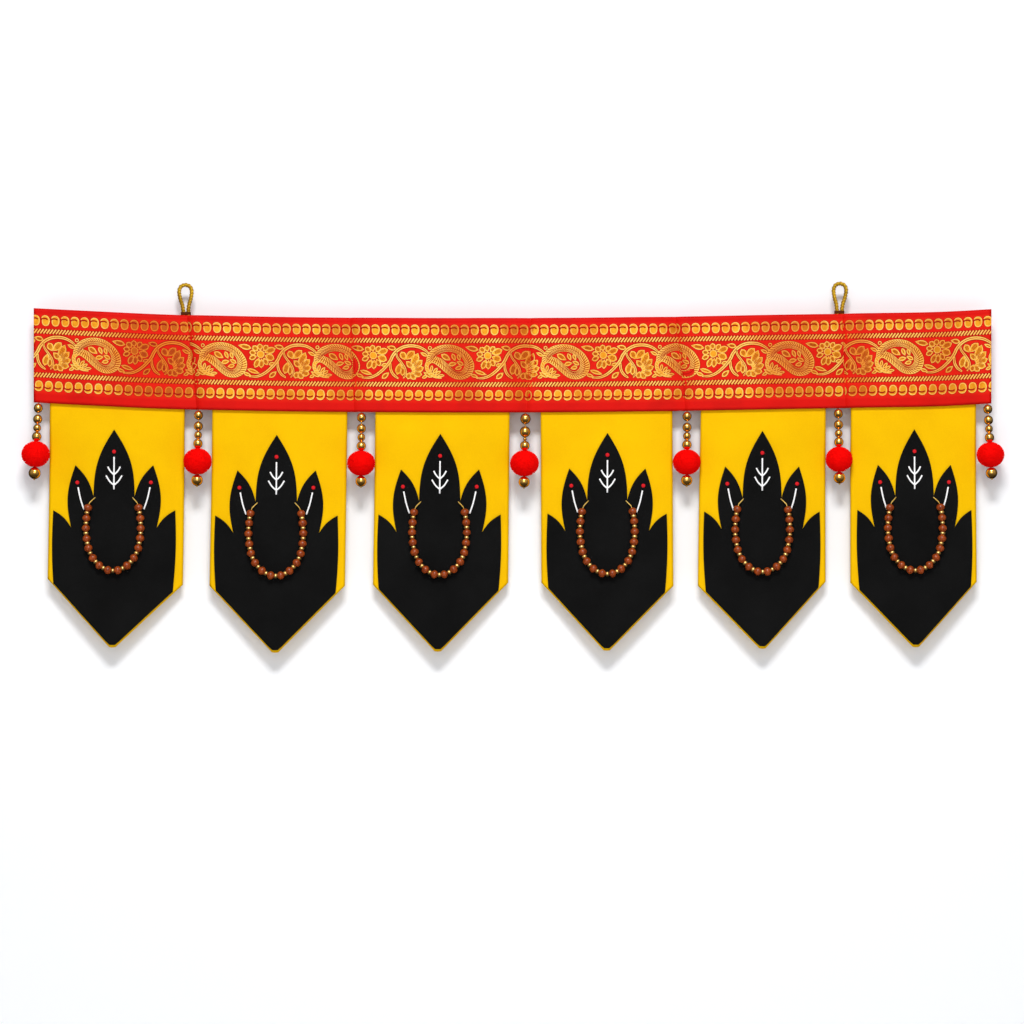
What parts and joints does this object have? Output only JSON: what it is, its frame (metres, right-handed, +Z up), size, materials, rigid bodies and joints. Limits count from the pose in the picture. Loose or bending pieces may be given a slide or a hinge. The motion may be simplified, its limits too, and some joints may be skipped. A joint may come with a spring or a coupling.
{
  "type": "toran door hanging",
  "caption": "Hanging for the top of a doorway: a woven paisley border with pointed cloth pennants, black cloth lotuses, bead swags, and drops of beads and pompoms.",
  "frame": {"origin": "mid thickness on the middle of the heading's top edge, which is the mount top_edge", "axes": "+X along the heading, to the viewer's right as it is seen from the front; +Y away from the viewer, towards the wall; +Z up"},
  "size_m": [0.9351, 0.0294, 0.3546],
  "materials": {
    "woven_border": "red woven cloth with a gold pattern",
    "yellow_cloth": "smooth plain cloth",
    "black_cloth": "matt plain cloth",
    "gold_cord": "twisted metallic thread",
    "gold_beads": "polished plating",
    "wooden_beads": "stained and polished",
    "red_yarn": "cut pile"
  },
  "bodies": {
    "root": {"heading": "woven_border", "loop_left": "gold_cord", "loop_right": "gold_cord", "pennant_1": "yellow_cloth", "pennant_2": "yellow_cloth", "pennant_3": "yellow_cloth", "pennant_4": "yellow_cloth", "pennant_5": "yellow_cloth", "pennant_6": "yellow_cloth", "lotus_1": "black_cloth", "lotus_2": "black_cloth", "lotus_3": "black_cloth", "lotus_4": "black_cloth", "lotus_5": "black_cloth", "lotus_6": "black_cloth", "garland_1": "wooden_beads", "garland_2": "wooden_beads", "garland_3": "wooden_beads", "garland_4": "wooden_beads", "garland_5": "wooden_beads", "garland_6": "wooden_beads", "strand_1": "gold_beads", "strand_2": "gold_beads", "strand_3": "gold_beads", "strand_4": "gold_beads", "strand_5": "gold_beads", "strand_6": "gold_beads", "strand_7": "gold_beads", "pompom_1": "red_yarn", "pompom_2": "red_yarn", "pompom_3": "red_yarn", "pompom_4": "red_yarn", "pompom_5": "red_yarn", "pompom_6": "red_yarn", "pompom_7": "red_yarn", "end_bead_1": "gold_beads", "end_bead_2": "gold_beads", "end_bead_3": "gold_beads", "end_bead_4": "gold_beads", "end_bead_5": "gold_beads", "end_bead_6": "gold_beads", "end_bead_7": "gold_beads"}
  },
  "joints": []
}
